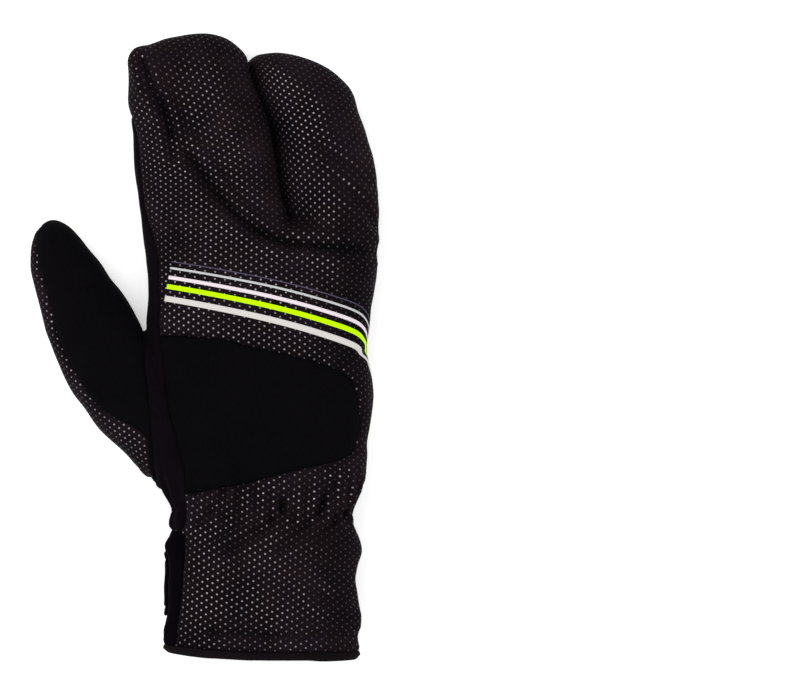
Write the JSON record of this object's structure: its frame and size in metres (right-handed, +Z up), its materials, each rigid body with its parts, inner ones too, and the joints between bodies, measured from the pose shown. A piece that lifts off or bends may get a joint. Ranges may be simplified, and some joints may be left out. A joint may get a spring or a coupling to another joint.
{
  "type": "lobster claw mitt",
  "caption": "Black right-hand lobster claw mitt in dotted softshell with suede palm, striped back and a hook and loop cuff, lying palm down.",
  "frame": {"origin": "middle of the palm's flat underside, where the mitt rests", "axes": "+Z up from the palm to the back of the hand, +Y from the cuff to the fingertips, -X to the thumb"},
  "size_m": [0.1531, 0.2729, 0.037],
  "materials": {
    "dotted_softshell": "matte softshell with small silvery printed dots and five printed stripes",
    "palm_suede": "soft brushed synthetic suede",
    "brushed_panel": "deep black brushed fleece",
    "stretch_knit": "plain stretch knit",
    "loop_pile": "fuzzy loop pile"
  },
  "bodies": {
    "root": {"hand_back": "dotted_softshell", "finger_back": "dotted_softshell", "cuff_back": "dotted_softshell", "cuff_palm": "dotted_softshell", "thumb_edge_gusset": "dotted_softshell", "knuckle_panel": "brushed_panel", "thumb_back": "brushed_panel", "thumb_palm": "palm_suede", "palm_panel": "palm_suede", "closure_tab": "palm_suede", "cuff_gusset": "stretch_knit", "hem_binding": "stretch_knit", "loop_patch": "loop_pile"}
  },
  "joints": []
}
